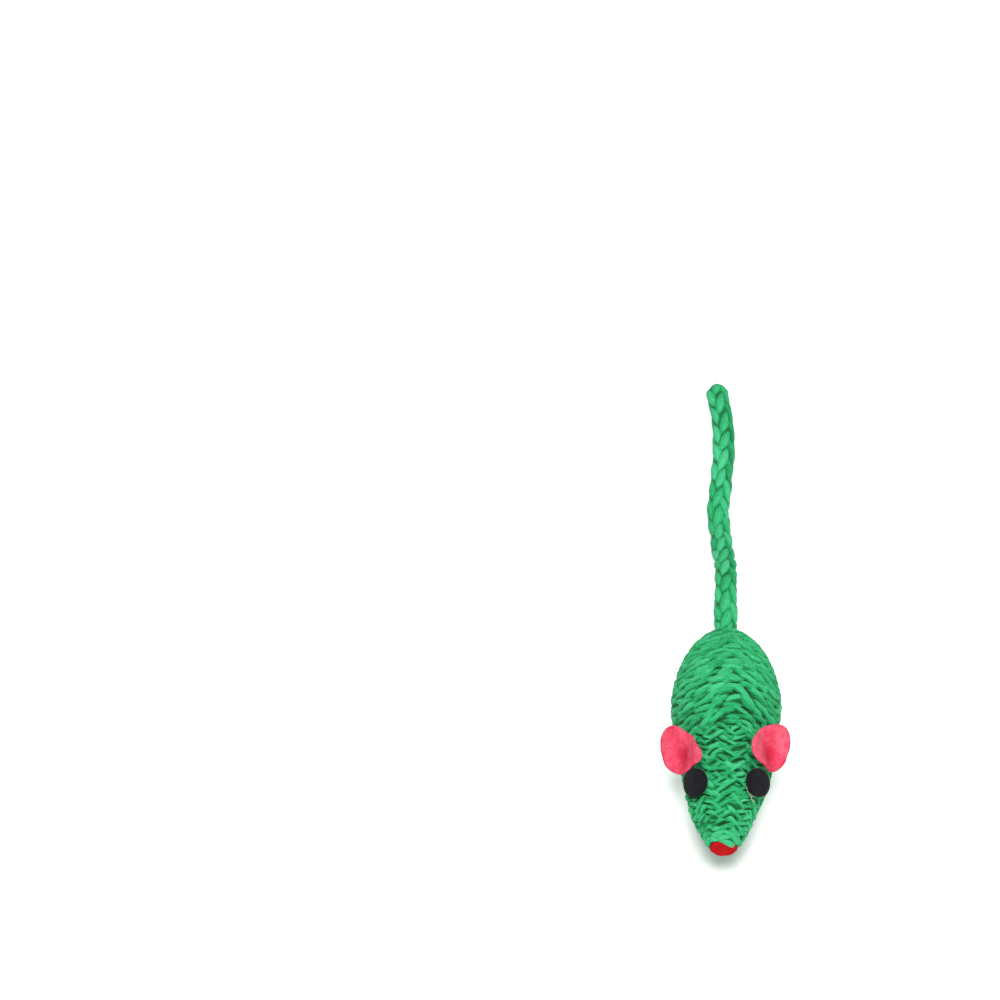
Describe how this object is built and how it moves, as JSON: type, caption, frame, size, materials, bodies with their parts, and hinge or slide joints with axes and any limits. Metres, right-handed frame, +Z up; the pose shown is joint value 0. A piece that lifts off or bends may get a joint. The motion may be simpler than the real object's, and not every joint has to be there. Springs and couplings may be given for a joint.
{
  "type": "rope mouse cat toy",
  "caption": "Mouse-shaped cat toy: a knitted cord wound round a hollow egg-shaped rattle, with cupped felt ears, felt eyes and nose, and a free cord tail lying behind it.",
  "frame": {"origin": "on the surface the toy lies on, under the middle of the toy without its free tail", "axes": "+Y from the nose to the tail along the body's axis, +Z up, +X to the mouse's left-hand side seen from the nose"},
  "size_m": [0.0322, 0.1346, 0.0267],
  "materials": {
    "yarn_green": "knitted tubular cotton cord",
    "felt_pink": "pressed felt",
    "felt_black": "pressed felt",
    "felt_red": "pressed felt",
    "shell_plastic": "moulded polypropylene",
    "bead_plastic": "tumbled plastic bead",
    "hot_glue": "clear hot-melt glue"
  },
  "bodies": {
    "mouse": {"body_winding": "yarn_green", "tail": "yarn_green", "shell_front_cup": "shell_plastic", "shell_rear_cup": "shell_plastic", "ear_left": "felt_pink", "ear_right": "felt_pink", "eye_left": "felt_black", "eye_right": "felt_black", "nose": "felt_red", "glue_ear_left": "hot_glue", "glue_ear_right": "hot_glue", "glue_eye_left": "hot_glue", "glue_eye_right": "hot_glue", "glue_nose": "hot_glue"},
    "front_bead": {"rattle_bead_1": "bead_plastic"},
    "middle_bead": {"rattle_bead_2": "bead_plastic"},
    "rear_bead": {"rattle_bead_3": "bead_plastic"}
  },
  "joints": [
    {"name": "front_bead_roll", "type": "hinge", "parent": "mouse", "child": "front_bead", "pos_m": [0, -0.00964, 0.01296], "axis": [0, 1, 0], "continuous": true},
    {"name": "middle_bead_roll", "type": "hinge", "parent": "mouse", "child": "middle_bead", "pos_m": [0, -0.00226, 0.01296], "axis": [0, 1, 0], "continuous": true},
    {"name": "rear_bead_roll", "type": "hinge", "parent": "mouse", "child": "rear_bead", "pos_m": [0, 0.00505, 0.01296], "axis": [0, 1, 0], "continuous": true}
  ]
}
